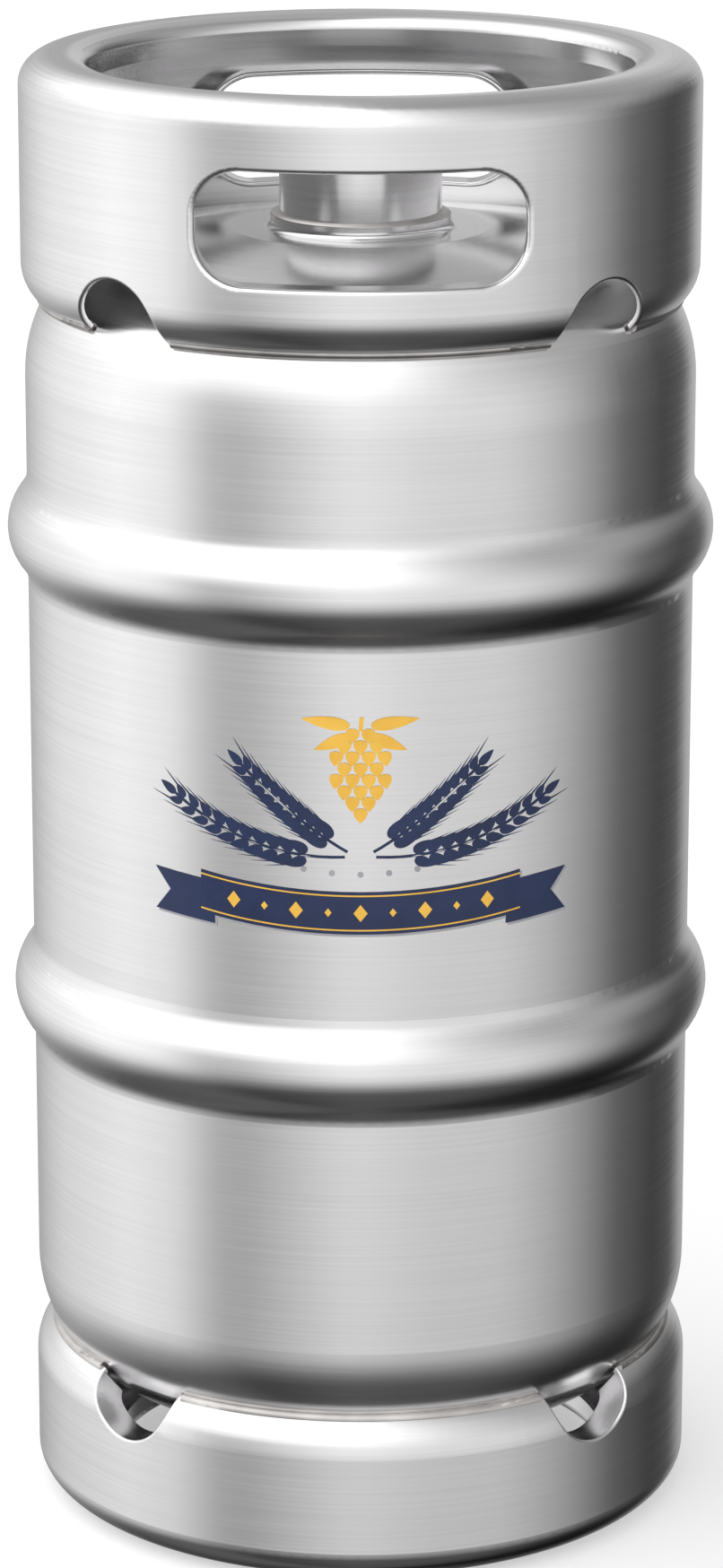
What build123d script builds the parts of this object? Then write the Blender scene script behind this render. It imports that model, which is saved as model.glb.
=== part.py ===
"""Slim quarter-barrel beer keg with its drop-in valve, every piece its own solid.

Millimetres, +Z up, origin on the floor under the middle of the keg. The hand holes
face -Y and +Y. Outlines are drawn as (radius, height) and turned once round +Z.
"""
import os
from math import acos, asin, atan2, cos, degrees, hypot, radians, sin, sqrt

from build123d import *

# ---- overall sizes ---------------------------------------------------------------
HEIGHT = 593.7
BODY_RADIUS = 133.5
CHIME_STAND_OUT = 1.1           # chimes are this much wider than the body
SHELL_WALL = 1.5
CHIME_WALL = 2.2

# ---- body shell and rolling rings ---------------------------------------------------
UPPER_RING_BELOW_TOP = 188.7
LOWER_RING_HEIGHT = 215.1
RING_BUMP = 7.9
RING_CROWN_R = 22.0
RING_FILLET_R = 12.0
GIRTH_WELD_FROM_SHOULDER = 12.0
GIRTH_WELD_WIDTH = 3.0
GIRTH_WELD_ROOT = 0.6           # bead stands this much inside the shell

# ---- heads: shoulder arc, knuckle arc, then a crown centred on the axis ---------------
TOP_SHOULDER_BELOW_TOP = 127.1
TOP_SHOULDER_R = 61.9
TOP_SHOULDER_SWEEP = 25.0
TOP_KNUCKLE_R = 40.0
BOTTOM_SHOULDER_HEIGHT = 99.1
BOTTOM_SHOULDER_R = 55.9
BOTTOM_SHOULDER_SWEEP = 35.0
BOTTOM_KNUCKLE_R = 45.0
KNUCKLE_END = 75.0              # degrees above level where the crown starts
LAND_RADIUS = 51.0
COLLAR_RADIUS = 35.75
COLLAR_RISE = 5.0
COLLAR_FILLET = 3.0
SUMP_RADIUS = 22.0
SUMP_FLARE = 6.0
SUMP_DEPTH = 3.5

# ---- chimes ---------------------------------------------------------------------
TOP_CORNER_HEIGHT = 81.4        # rim down to the centre of the chime's inner corner
TOP_CORNER_R = 19.6
TOP_EDGE_ACROSS = 12.5
TOP_EDGE_DOWN = 11.7
TOP_FLAT = 1.6
TOP_RING_WIDTH = 27.1           # wall in to the mouth of the chime
TOP_LIP_DEPTH = 13.2
FOOT_CORNER_HEIGHT = 54.5
FOOT_CORNER_R = 18.6
FOOT_EDGE_ACROSS = 18.8
FOOT_EDGE_UP = 14.75
FOOT_FLAT = 3.0
FOOT_RING_WIDTH = 33.6
FOOT_LIP_DEPTH = 13.0
CHIME_CROWN_R = 30.0
CHIME_LIP_R = 5.0
WELD_ROOT_GAP = 0.4
WELD_BEAD_R = 2.3

# ---- hand holes and drain notches --------------------------------------------------
HAND_HOLE_WIDTH = 124.7
HAND_HOLE_HEIGHT = 43.5
HAND_HOLE_CORNER = 18.0
HAND_HOLE_BELOW_TOP = 49.0
HAND_HOLE_FLANGE = 12.5
HAND_HOLE_ROUND = 2.0
FLANGE_END_ROUND = 0.8
FLANGE_BITE = 0.1               # turned-in walls start this deep in the sheet
FLANGE_STEP = 0.05              # and stand back this much from the opening
FLANGE_SHORT_OF_EDGE = 4.0      # degrees of the chime's inner corner
ON_WALL = 0.01
NOTCH_RADIUS = 21.4
NOTCH_AZIMUTHS = (45.0, 135.0, 225.0, 315.0)
TOP_NOTCH_BELOW_CORNER = 13.6
TOP_NOTCH_ROUND = 1.2
FOOT_NOTCH_ABOVE_CORNER = 15.0
FOOT_NOTCH_FLANGE = 13.0
FOOT_NOTCH_ROUND = 0.9

# ---- neck -------------------------------------------------------------------------
NECK_RADIUS = 32.2
NECK_RISE = 41.9                # land to the neck's top face
NECK_BELOW_LAND = 9.0
NECK_EDGE = 0.8
MOUTH_RADIUS = 28.0
LOWER_BORE_RADIUS = 24.0
SHOULDER_BELOW_TOP = 19.0
GASKET_THICKNESS = 1.5
GROOVE_DEPTH = 1.6
NECK_WELD_RISE = 1.4

# ---- valve housing and cage --------------------------------------------------------
HOUSING_CLEARANCE = 0.3
HOUSING_RISE = 12.0             # gasket to the housing's top face
LIP_RADIUS = 21.8
LIP_THICKNESS = 3.5
LIP_GAP_DEGREES = 40.0
RECESS_RADIUS = 25.2
SEAT_THICKNESS = 2.0
SEAT_RADIUS = 17.5
SKIRT_RADIUS = 21.4
SKIRT_LENGTH = 11.0
CRIMP_LENGTH = 5.0
CRIMP_DEPTH = 0.9
RING_THICKNESS = 1.8
RING_INNER_RADIUS = 26.2
RING_CLEARANCE = 0.1
RING_SPLIT = 8.0
CAGE_WALL = 1.2
CAGE_LENGTH = 50.0
CAGE_WINDOWS = 4
CAGE_WINDOW_WIDTH = 16.0
CAGE_WINDOW_HEIGHT = 26.0

# ---- moving valve -----------------------------------------------------------------
VALVE_TRAVEL = 8.0
SEAL_RADIUS = 19.8
SEAL_THICKNESS = 3.3
SEAL_LIP_RADIUS = 7.2
SEAL_CONE_RADIUS = 11.0
SEAL_CORE_INNER = 13.2
SEAL_CORE_OUTER = 16.6
SEAL_CORE_THICKNESS = 1.0
PLATE_RADIUS = 19.6
PLATE_THICKNESS = 1.2
PLATE_CLEARANCE = 0.05
CUP_WALL = 1.0
CUP_RADIUS = 12.5
CUP_FLANGE_RADIUS = 17.0
CUP_FLANGE_THICKNESS = 0.8
CUP_DEPTH = 22.0
CUP_SOCKET_LENGTH = 8.0
TUBE_RADIUS = 8.0
TUBE_WALL = 0.6
TUBE_FOOT_GAP = 4.0
TUBE_FOOT_NOTCH_R = 3.0
BUSH_FIT = 0.08                 # running clearance of the tube in its bush
BUSH_WALL = 2.4
BUSH_HEIGHT = 7.0
BUSH_FLANGE = 1.6
BALL_RADIUS = 9.0
BALL_GAP = 0.3
MAIN_WIRE = 2.2
MAIN_COILS = 6.5
MAIN_MEAN_RADIUS = 18.2
BALL_WIRE = 0.9
BALL_COILS = 5.0
BALL_SPRING_MEAN_RADIUS = 6.3

# ---- dust cap ---------------------------------------------------------------------
CAP_CLEARANCE = 0.3
CAP_WALL = 1.1
CAP_TOP = 2.6
CAP_CROWN = 1.2
CAP_SKIRT = 9.0
CAP_PLUG_DEPTH = 3.2
CAP_EDGE = 1.2
CAP_TAB_REACH = 8.0
CAP_TAB_WIDTH = 14.0

# ---- heights and radii that follow from the sizes above --------------------------------
chime_radius = BODY_RADIUS + CHIME_STAND_OUT
top_shoulder_z = HEIGHT - TOP_SHOULDER_BELOW_TOP
upper_ring_z = HEIGHT - UPPER_RING_BELOW_TOP
upper_weld_z = top_shoulder_z - GIRTH_WELD_FROM_SHOULDER
lower_weld_z = BOTTOM_SHOULDER_HEIGHT + GIRTH_WELD_FROM_SHOULDER
reach = 2 * HEIGHT              # longer than anything, for cutting tools


def turn(edges):
    """Turn a closed (radius, height) outline once round the keg's axis."""
    return revolve(Plane.XZ * make_face(edges), Axis.Z)


def tube(outer, inner, low, high):
    """A plain ring between two heights; inner 0 gives a disc."""
    outline = [(inner, low), (outer, low), (outer, high), (inner, high)]
    return turn(Polyline(*outline, close=True))


def polar(center, radius, angle):
    """The point at an angle in degrees on a circle in the (radius, height) plane."""
    return (center[0] + radius * cos(radians(angle)), center[1] + radius * sin(radians(angle)))


class Head:
    """Half-outline of a drawn head, height counted from the start of its shoulder."""

    def __init__(self, shoulder_r, shoulder_sweep, knuckle_r):
        self.shoulder_r = shoulder_r
        self.sweep = shoulder_sweep
        self.knuckle_r = knuckle_r
        self.shoulder_c = (BODY_RADIUS - shoulder_r, 0)
        self.knuckle_c = polar(self.shoulder_c, shoulder_r - knuckle_r, shoulder_sweep)
        self.crown_r = knuckle_r + self.knuckle_c[0] / cos(radians(KNUCKLE_END))
        self.crown_c = (0, self.knuckle_c[1] - (self.crown_r - knuckle_r) * sin(radians(KNUCKLE_END)))

    def crown_z(self, radius):
        """Height of the crown's outer face at a radius."""
        return self.crown_c[1] + sqrt(self.crown_r ** 2 - radius ** 2)

    def arcs(self, inset, end_radius):
        """Outer face moved in by inset, from the shoulder to end_radius on the crown."""
        crown = self.crown_r - inset
        turn_to = degrees(acos(end_radius / crown))
        return (
            CenterArc(self.shoulder_c, self.shoulder_r - inset, 0, self.sweep)
            + CenterArc(self.knuckle_c, self.knuckle_r - inset, self.sweep, KNUCKLE_END - self.sweep)
            + CenterArc(self.crown_c, crown, KNUCKLE_END, turn_to - KNUCKLE_END)
        )

    def crown_point(self, inset, radius):
        """The point where arcs() ends."""
        return (radius, self.crown_c[1] + sqrt((self.crown_r - inset) ** 2 - radius ** 2))


top_head = Head(TOP_SHOULDER_R, TOP_SHOULDER_SWEEP, TOP_KNUCKLE_R)
bottom_head = Head(BOTTOM_SHOULDER_R, BOTTOM_SHOULDER_SWEEP, BOTTOM_KNUCKLE_R)
land_z = top_shoulder_z + top_head.crown_z(LAND_RADIUS)


def top_head_solid(inset, collar_top):
    """Filled top head with its land and collar, every face moved in by inset."""
    low = GIRTH_WELD_WIDTH / 2 - GIRTH_WELD_FROM_SHOULDER
    wall = BODY_RADIUS - inset
    land = top_head.crown_z(LAND_RADIUS) - inset
    collar = COLLAR_RADIUS - inset
    fillet = COLLAR_FILLET + inset
    edge = top_head.crown_point(inset, LAND_RADIUS)
    outline = Line((0, low), (wall, low)) + Line((wall, low), (wall, 0))
    outline += top_head.arcs(inset, LAND_RADIUS)
    if edge[1] != land:
        outline += Line(edge, (LAND_RADIUS, land))
    outline += Line((LAND_RADIUS, land), (collar + fillet, land))
    outline += CenterArc((collar + fillet, land + fillet), fillet, 270, -90)
    outline += Line((collar, land + fillet), (collar, collar_top))
    outline += Line((collar, collar_top), (0, collar_top)) + Line((0, collar_top), (0, low))
    return Pos(0, 0, top_shoulder_z) * turn(outline)


def bottom_head_solid(inset):
    """Filled bottom head with its sump, upside down until it is mirrored into place."""
    low = GIRTH_WELD_WIDTH / 2 - GIRTH_WELD_FROM_SHOULDER
    wall = BODY_RADIUS - inset
    edge = bottom_head.crown_point(inset, SUMP_RADIUS + SUMP_FLARE)
    floor = edge[1] + SUMP_DEPTH
    outline = Line((0, low), (wall, low)) + Line((wall, low), (wall, 0))
    outline += bottom_head.arcs(inset, SUMP_RADIUS + SUMP_FLARE)
    outline += Line(edge, (SUMP_RADIUS, floor)) + Line((SUMP_RADIUS, floor), (0, floor))
    outline += Line((0, floor), (0, low))
    return Pos(0, 0, BOTTOM_SHOULDER_HEIGHT) * mirror(turn(outline), Plane.XY)


# ---- body shell ----------------------------------------------------------------------
def ring_arcs(inset, z):
    """Fillet, crown and fillet of one rolling ring, from below to above."""
    crown_c = (BODY_RADIUS + RING_BUMP - RING_CROWN_R, z)
    rise = sqrt((RING_CROWN_R + RING_FILLET_R) ** 2 - (RING_CROWN_R + RING_FILLET_R - RING_BUMP) ** 2)
    lean = degrees(asin(rise / (RING_CROWN_R + RING_FILLET_R)))
    fillet_x = BODY_RADIUS + RING_FILLET_R
    fillet = RING_FILLET_R + inset
    arcs = CenterArc((fillet_x, z - rise), fillet, 180, -lean)
    arcs += CenterArc(crown_c, RING_CROWN_R - inset, -lean, 2 * lean)
    arcs += CenterArc((fillet_x, z + rise), fillet, 180 + lean, -lean)
    return arcs, rise


def shell_solid(inset):
    """Filled body shell with both rings, its outer face moved in by inset."""
    low = lower_weld_z + GIRTH_WELD_WIDTH / 2
    high = upper_weld_z - GIRTH_WELD_WIDTH / 2
    wall = BODY_RADIUS - inset
    lower, rise = ring_arcs(inset, LOWER_RING_HEIGHT)
    upper, rise = ring_arcs(inset, upper_ring_z)
    outline = Line((0, low), (wall, low)) + Line((wall, low), (wall, LOWER_RING_HEIGHT - rise))
    outline += lower + Line((wall, LOWER_RING_HEIGHT + rise), (wall, upper_ring_z - rise))
    outline += upper + Line((wall, upper_ring_z + rise), (wall, high))
    outline += Line((wall, high), (0, high)) + Line((0, high), (0, low))
    return turn(outline)


def girth_weld(z):
    """Butt weld bead, flush outside and proud inside."""
    half = GIRTH_WELD_WIDTH / 2
    return tube(BODY_RADIUS, BODY_RADIUS - SHELL_WALL - GIRTH_WELD_ROOT, z - half, z + half)


# ---- chimes ------------------------------------------------------------------------
class Chime:
    """A rolled chime drawn with its rim at height 0 and its welded edge below."""

    def __init__(self, corner_height, corner_r, across, down, flat, width, lip_depth, head, drop):
        self.corner_c = (chime_radius - corner_r, -corner_height)
        self.corner_r = corner_r
        self.across = across
        self.down = down
        self.flat = flat
        self.opening = chime_radius - width
        self.lip_depth = lip_depth
        self.head_c = (head.shoulder_c[0], -drop)
        self.head_r = head.shoulder_r
        self.sweep = self.sweep_to_head()

    def sweep_to_head(self):
        """Degrees that the corner turns before its middle meets the head's shoulder."""
        middle = self.corner_r - CHIME_WALL / 2
        away = (self.head_c[0] - self.corner_c[0], self.head_c[1] - self.corner_c[1])
        span = hypot(*away)
        stop = self.head_r + WELD_ROOT_GAP + CHIME_WALL / 4
        open_angle = degrees(acos((middle ** 2 + span ** 2 - stop ** 2) / (2 * middle * span)))
        return -degrees(atan2(away[1], away[0])) - open_angle

    def section(self):
        """Closed outline of the rolled sheet."""
        wall = CHIME_WALL
        center = self.corner_c
        flat_out = chime_radius - self.across
        flat_in = flat_out - self.flat
        lip_c_r = self.opening + CHIME_LIP_R
        lean = degrees(asin((flat_in - lip_c_r) / (CHIME_CROWN_R - CHIME_LIP_R)))
        crown_c = (flat_in, -CHIME_CROWN_R)
        lip_c = polar(crown_c, CHIME_CROWN_R - CHIME_LIP_R, 90 + lean)
        edge_c = (flat_out, -self.down)
        outline = None
        for inset, way in ((0, 1), (wall, -1)):
            outer = chime_radius - inset
            pieces = CenterArc(center, self.corner_r - inset, -self.sweep, self.sweep)
            pieces += Line((outer, center[1]), (outer, -self.down))
            pieces += EllipticalCenterArc(edge_c, self.across - inset, self.down - inset, 0, arc_size=90)
            pieces += Line((flat_out, -inset), (flat_in, -inset))
            pieces += CenterArc(crown_c, CHIME_CROWN_R - inset, 90, lean)
            pieces += CenterArc(lip_c, CHIME_LIP_R - inset, 90 + lean, 90 - lean)
            pieces += Line((self.opening + inset, lip_c[1]), (self.opening + inset, -self.lip_depth))
            outline = pieces if outline is None else outline + pieces
        outline += Line((self.opening, -self.lip_depth), (self.opening + wall, -self.lip_depth))
        outline += Line(polar(center, self.corner_r, -self.sweep),
                        polar(center, self.corner_r - wall, -self.sweep))
        return outline

    def corner_band(self, depth, height):
        """Ring inside the corner's sheet, down to depth, that turned-in edges are cut from."""
        center = self.corner_c
        near = CHIME_WALL - FLANGE_BITE
        outer = self.corner_r - near
        inner = self.corner_r - depth
        sweep = self.sweep - FLANGE_SHORT_OF_EDGE
        top = center[1] + height
        outline = CenterArc(center, outer, -sweep, sweep)
        outline += Line((chime_radius - near, center[1]), (chime_radius - near, top))
        outline += Line((chime_radius - near, top), (chime_radius - depth, top))
        outline += Line((chime_radius - depth, top), (chime_radius - depth, center[1]))
        outline += CenterArc(center, inner, 0, -sweep)
        outline += Line(polar(center, inner, -sweep), polar(center, outer, -sweep))
        return turn(outline)

    def weld_center(self):
        """Middle of the weld bead, at the end of the rolled sheet."""
        return polar(self.corner_c, self.corner_r - CHIME_WALL / 2, -self.sweep)


def notch_tool(radius, z):
    """Four radial rods on the notch azimuths."""
    rods = []
    for azimuth in NOTCH_AZIMUTHS:
        rod = Rot(0, 90, 0) * Cylinder(radius, chime_radius, align=(Align.CENTER, Align.CENTER, Align.MIN))
        rods.append(Rot(0, 0, azimuth) * Pos(chime_radius / 2, 0, z) * rod)
    return Part() + rods


def hand_hole_tool(grow, z):
    """Rounded bar along Y through both hand holes, its outline grown by grow."""
    outline = RectangleRounded(
        HAND_HOLE_WIDTH + 2 * grow, HAND_HOLE_HEIGHT + 2 * grow, HAND_HOLE_CORNER + grow)
    return extrude(Plane.XZ * Pos(0, z) * outline, amount=reach, both=True)


def outer_edges(body, low, high, near_y):
    """Edges of openings on the chime's outer wall, between two heights and past near_y."""
    found = []
    for edge in body.edges():
        middle = edge.position_at(0.5)
        on_wall = abs(hypot(middle.X, middle.Y) - chime_radius) < ON_WALL
        if on_wall and low < middle.Z < high and abs(middle.Y) > near_y and edge.length < chime_radius:
            found.append(edge)
    return found


def add_notch_plugs(body, chime, notch_z, depth):
    """Thicken the corner inwards round each drain notch, ready for its turned-in wall."""
    band = chime.corner_band(depth, NOTCH_RADIUS + 2 * CHIME_WALL)
    return body + (band & notch_tool(NOTCH_RADIUS + CHIME_WALL, notch_z))


def cut_notches(body, notch_z, edge_round):
    """Cut the four drain notches and round their outer edges."""
    body -= notch_tool(NOTCH_RADIUS, notch_z)
    return fillet(outer_edges(body, notch_z, notch_z + NOTCH_RADIUS + ON_WALL, chime_radius / 2), edge_round)


def cut_hand_holes(body):
    """Cut both hand holes, round their outer edges and turn their walls in."""
    middle = -HAND_HOLE_BELOW_TOP
    half = HAND_HOLE_HEIGHT / 2
    body -= hand_hole_tool(0, middle)
    body = fillet(
        outer_edges(body, middle - half - ON_WALL, middle + half + ON_WALL, chime_radius / 2),
        min(HAND_HOLE_ROUND, CHIME_WALL - FLANGE_BITE))
    inner = chime_radius - HAND_HOLE_FLANGE
    ring = tube(chime_radius - CHIME_WALL + FLANGE_BITE, inner, middle - HAND_HOLE_HEIGHT,
                middle + HAND_HOLE_HEIGHT)
    walls = ring & (hand_hole_tool(CHIME_WALL, middle) - hand_hole_tool(FLANGE_STEP, middle))
    ends = [edge for edge in walls.edges()
            if abs(hypot(edge.position_at(0.5).X, edge.position_at(0.5).Y) - inner) < ON_WALL]
    return body + fillet(ends, FLANGE_END_ROUND)


top_chime_shape = Chime(
    TOP_CORNER_HEIGHT, TOP_CORNER_R, TOP_EDGE_ACROSS, TOP_EDGE_DOWN, TOP_FLAT,
    TOP_RING_WIDTH, TOP_LIP_DEPTH, top_head, TOP_SHOULDER_BELOW_TOP)
foot_shape = Chime(
    FOOT_CORNER_HEIGHT, FOOT_CORNER_R, FOOT_EDGE_ACROSS, FOOT_EDGE_UP, FOOT_FLAT,
    FOOT_RING_WIDTH, FOOT_LIP_DEPTH, bottom_head, BOTTOM_SHOULDER_HEIGHT)
top_notch_z = -TOP_CORNER_HEIGHT - TOP_NOTCH_BELOW_CORNER
foot_notch_z = -FOOT_CORNER_HEIGHT - FOOT_NOTCH_ABOVE_CORNER


def make_top_chime():
    """Top chime with flanged hand holes and drain notches."""
    body = cut_hand_holes(turn(top_chime_shape.section()))
    return Pos(0, 0, HEIGHT) * cut_notches(body, top_notch_z, TOP_NOTCH_ROUND)


def make_bottom_chime():
    """Foot ring, its turned-in notch walls trimmed where the head passes."""
    body = add_notch_plugs(turn(foot_shape.section()), foot_shape, foot_notch_z, FOOT_NOTCH_FLANGE)
    body = cut_notches(body, foot_notch_z, FOOT_NOTCH_ROUND)
    return mirror(body, Plane.XY) - bottom_head_solid(-WELD_ROOT_GAP)


def chime_weld(shape, notch_z):
    """Bead filling the corner between the chime's edge and the head, in runs between notches."""
    bead = Pos(*shape.weld_center()) * Circle(WELD_BEAD_R)
    bead -= make_face(shape.section())
    bead -= Pos(*shape.head_c) * Circle(shape.head_r)
    return revolve(Plane.XZ * bead, Axis.Z) - notch_tool(NOTCH_RADIUS + CHIME_WALL + WELD_ROOT_GAP, notch_z)


# ---- neck --------------------------------------------------------------------------
neck_top = land_z + NECK_RISE
neck_bottom = land_z - NECK_BELOW_LAND
collar_top = land_z + COLLAR_RISE
neck_shoulder = neck_top - SHOULDER_BELOW_TOP
housing_low = neck_shoulder + GASKET_THICKNESS
housing_top = housing_low + HOUSING_RISE
ring_top = housing_top + RING_THICKNESS
collar_bore = COLLAR_RADIUS - SHELL_WALL


def make_neck():
    """Turned neck: mouth, ring groove, gasket shoulder and lower bore."""
    groove = MOUTH_RADIUS + GROOVE_DEPTH
    body = turn(Polyline(
        (LOWER_BORE_RADIUS, neck_bottom), (collar_bore, neck_bottom), (collar_bore, collar_top),
        (NECK_RADIUS, collar_top), (NECK_RADIUS, neck_top - NECK_EDGE),
        (NECK_RADIUS - NECK_EDGE, neck_top), (MOUTH_RADIUS + NECK_EDGE, neck_top),
        (MOUTH_RADIUS, neck_top - NECK_EDGE), (MOUTH_RADIUS, ring_top + RING_CLEARANCE),
        (groove, ring_top + RING_CLEARANCE), (groove, housing_top - RING_CLEARANCE),
        (MOUTH_RADIUS, housing_top - RING_CLEARANCE), (MOUTH_RADIUS, neck_shoulder),
        (LOWER_BORE_RADIUS, neck_shoulder), close=True))
    return body


def make_neck_weld():
    """Rounded bead on the collar's top, against the neck."""
    width = COLLAR_RADIUS - NECK_RADIUS
    bead = EllipticalCenterArc((NECK_RADIUS, collar_top), width, NECK_WELD_RISE, 0, arc_size=90)
    bead += Line((NECK_RADIUS, collar_top + NECK_WELD_RISE), (NECK_RADIUS, collar_top))
    bead += Line((NECK_RADIUS, collar_top), (COLLAR_RADIUS, collar_top))
    return turn(bead)


# ---- valve housing, ring and cage ----------------------------------------------------
seat_low = housing_low
skirt_low = seat_low - SKIRT_LENGTH
crimp_top = skirt_low + CRIMP_LENGTH
cage_radius = SKIRT_RADIUS + CRIMP_DEPTH
cage_bottom = crimp_top - CAGE_LENGTH
cage_floor = cage_bottom + CAGE_WALL


def make_valve_housing():
    """Housing with two locking lips, the coupler recess, the gas seat and a skirt."""
    outer = MOUTH_RADIUS - HOUSING_CLEARANCE
    skirt_outer = LOWER_BORE_RADIUS - HOUSING_CLEARANCE
    body = turn(Polyline(
        (SKIRT_RADIUS, crimp_top), (cage_radius, crimp_top), (cage_radius, skirt_low),
        (skirt_outer, skirt_low), (skirt_outer, seat_low), (outer, seat_low),
        (outer, housing_top), (LIP_RADIUS, housing_top), (LIP_RADIUS, housing_top - LIP_THICKNESS),
        (RECESS_RADIUS, housing_top - LIP_THICKNESS), (RECESS_RADIUS, seat_low + SEAT_THICKNESS),
        (SEAT_RADIUS, seat_low + SEAT_THICKNESS), (SEAT_RADIUS, seat_low),
        (SKIRT_RADIUS, seat_low), close=True))
    gap = tube(RECESS_RADIUS, 0, housing_top - LIP_THICKNESS, housing_top)
    wide = 2 * RECESS_RADIUS * sin(radians(LIP_GAP_DEGREES / 2))
    return body - (gap & Pos(0, 0, housing_top) * Box(reach, wide, 4 * LIP_THICKNESS))


def make_retaining_ring():
    """Split ring sprung into the neck's groove."""
    body = tube(MOUTH_RADIUS + GROOVE_DEPTH - RING_CLEARANCE, RING_INNER_RADIUS, housing_top, ring_top)
    split_depth = 2 * RING_THICKNESS + MOUTH_RADIUS / 2
    split = Pos(0, MOUTH_RADIUS, ring_top) * Box(RING_SPLIT, split_depth, MOUTH_RADIUS)
    return body - split


def make_spring_cage():
    """Slotted cup crimped in the housing's skirt."""
    body = tube(cage_radius, cage_radius - CAGE_WALL, cage_bottom, crimp_top)
    hole = TUBE_RADIUS + BUSH_FIT + BUSH_WALL
    body += tube(cage_radius - CAGE_WALL, hole, cage_bottom, cage_floor)
    middle = cage_floor + CAGE_WINDOW_HEIGHT / 2 + BUSH_HEIGHT
    for index in range(CAGE_WINDOWS):
        window = Pos(cage_radius, 0, middle) * Box(cage_radius, CAGE_WINDOW_WIDTH, CAGE_WINDOW_HEIGHT)
        body -= Rot(0, 0, index * 360 / CAGE_WINDOWS) * window
    return body


def make_tube_guide_bush():
    """Flanged bush in the cage floor that the down tube slides in."""
    bore = TUBE_RADIUS + BUSH_FIT
    outer = bore + BUSH_WALL
    return turn(Polyline(
        (bore, cage_bottom - BUSH_FLANGE), (outer + BUSH_FLANGE, cage_bottom - BUSH_FLANGE),
        (outer + BUSH_FLANGE, cage_bottom), (outer, cage_bottom),
        (outer, cage_floor + BUSH_HEIGHT), (bore, cage_floor + BUSH_HEIGHT), close=True))


def coil_spring(mean_radius, wire, coils, low, high):
    """Open compression spring whose end coils bear on low and high."""
    span = high - low - wire
    path = Pos(0, 0, low + wire / 2) * Helix(span / coils, span, mean_radius)
    wire_face = Plane(origin=path @ 0, z_dir=path % 0) * Circle(wire / 2)
    return sweep(wire_face, path=path, is_frenet=True)


# ---- moving valve ------------------------------------------------------------------
seal_top = seat_low
seal_low = seal_top - SEAL_THICKNESS
flange_low = seal_low - CUP_FLANGE_THICKNESS
plate_low = flange_low - PLATE_THICKNESS
cup_floor = seal_low - CUP_DEPTH
lip_edge = seal_top - SEAL_THICKNESS / 2
ball_z = lip_edge - sqrt(BALL_RADIUS ** 2 - SEAL_LIP_RADIUS ** 2) - BALL_GAP
sump_rim = bottom_head.crown_point(SHELL_WALL, SUMP_RADIUS + SUMP_FLARE)[1]
sump_z = BOTTOM_SHOULDER_HEIGHT - sump_rim - SUMP_DEPTH
tube_top = cup_floor
tube_foot = sump_z + VALVE_TRAVEL + TUBE_FOOT_GAP


def make_seal_core():
    """Steel ring inside the rubber."""
    low = seal_low + (SEAL_THICKNESS - SEAL_CORE_THICKNESS) / 2
    return tube(SEAL_CORE_OUTER, SEAL_CORE_INNER, low, low + SEAL_CORE_THICKNESS)


def make_valve_seal(core):
    """Rubber valve with a coned mouth for the ball, moulded round its core."""
    body = turn(Polyline(
        (SEAL_CONE_RADIUS, seal_low), (SEAL_RADIUS, seal_low), (SEAL_RADIUS, seal_top),
        (SEAL_LIP_RADIUS, seal_top), (SEAL_LIP_RADIUS, lip_edge), close=True))
    return body - core


def make_ball_cup():
    """Flanged cup under the seal, with a socket for the down tube."""
    socket = TUBE_RADIUS + CUP_WALL
    return turn(Polyline(
        (CUP_RADIUS - CUP_WALL, seal_low), (CUP_FLANGE_RADIUS, seal_low),
        (CUP_FLANGE_RADIUS, flange_low), (CUP_RADIUS, flange_low),
        (CUP_RADIUS, cup_floor - CUP_WALL), (socket, cup_floor - CUP_WALL),
        (socket, cup_floor - CUP_SOCKET_LENGTH), (TUBE_RADIUS, cup_floor - CUP_SOCKET_LENGTH),
        (TUBE_RADIUS, cup_floor), (CUP_RADIUS - CUP_WALL, cup_floor), close=True))


def make_down_tube():
    """Siphon tube with four half-round openings at its foot."""
    body = tube(TUBE_RADIUS, TUBE_RADIUS - TUBE_WALL, tube_foot, tube_top)
    for axis in (Rot(90, 0, 0), Rot(0, 90, 0)):
        body -= Pos(0, 0, tube_foot) * axis * Cylinder(TUBE_FOOT_NOTCH_R, 4 * TUBE_RADIUS)
    return body


def make_tube_weld():
    """Small fillet bead under the cup's socket."""
    low = cup_floor - CUP_SOCKET_LENGTH
    return turn(Polyline(
        (TUBE_RADIUS, low), (TUBE_RADIUS + CUP_WALL, low), (TUBE_RADIUS, low - CUP_WALL), close=True))


def make_dust_cap():
    """Snap cap over the neck with a plug ring, a slight crown and a pull tab."""
    skirt_inner = NECK_RADIUS + CAP_CLEARANCE
    outer = skirt_inner + CAP_WALL
    top = neck_top + CAP_TOP
    crown_edge = outer - CAP_EDGE
    crown_r = (crown_edge ** 2 + CAP_CROWN ** 2) / (2 * CAP_CROWN)
    crown_lean = degrees(asin(crown_edge / crown_r))
    outline = Line((0, neck_top), (outer, neck_top)) + Line((outer, neck_top), (outer, top - CAP_EDGE))
    outline += CenterArc((crown_edge, top - CAP_EDGE), CAP_EDGE, 0, 90)
    outline += CenterArc((0, top + CAP_CROWN - crown_r), crown_r, 90 - crown_lean, crown_lean)
    outline += Line((0, top + CAP_CROWN), (0, neck_top))
    body = turn(outline)
    body += tube(outer, skirt_inner, neck_top - CAP_SKIRT, neck_top)
    plug = MOUTH_RADIUS - CAP_CLEARANCE
    body += tube(plug, plug - CAP_WALL, neck_top - CAP_PLUG_DEPTH, neck_top)
    tab = extrude(RectangleRounded(CAP_TAB_WIDTH, 2 * CAP_TAB_REACH, CAP_TAB_WIDTH / 3), CAP_WALL)
    tab = Pos(0, -outer, neck_top) * tab
    return body + tab


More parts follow.
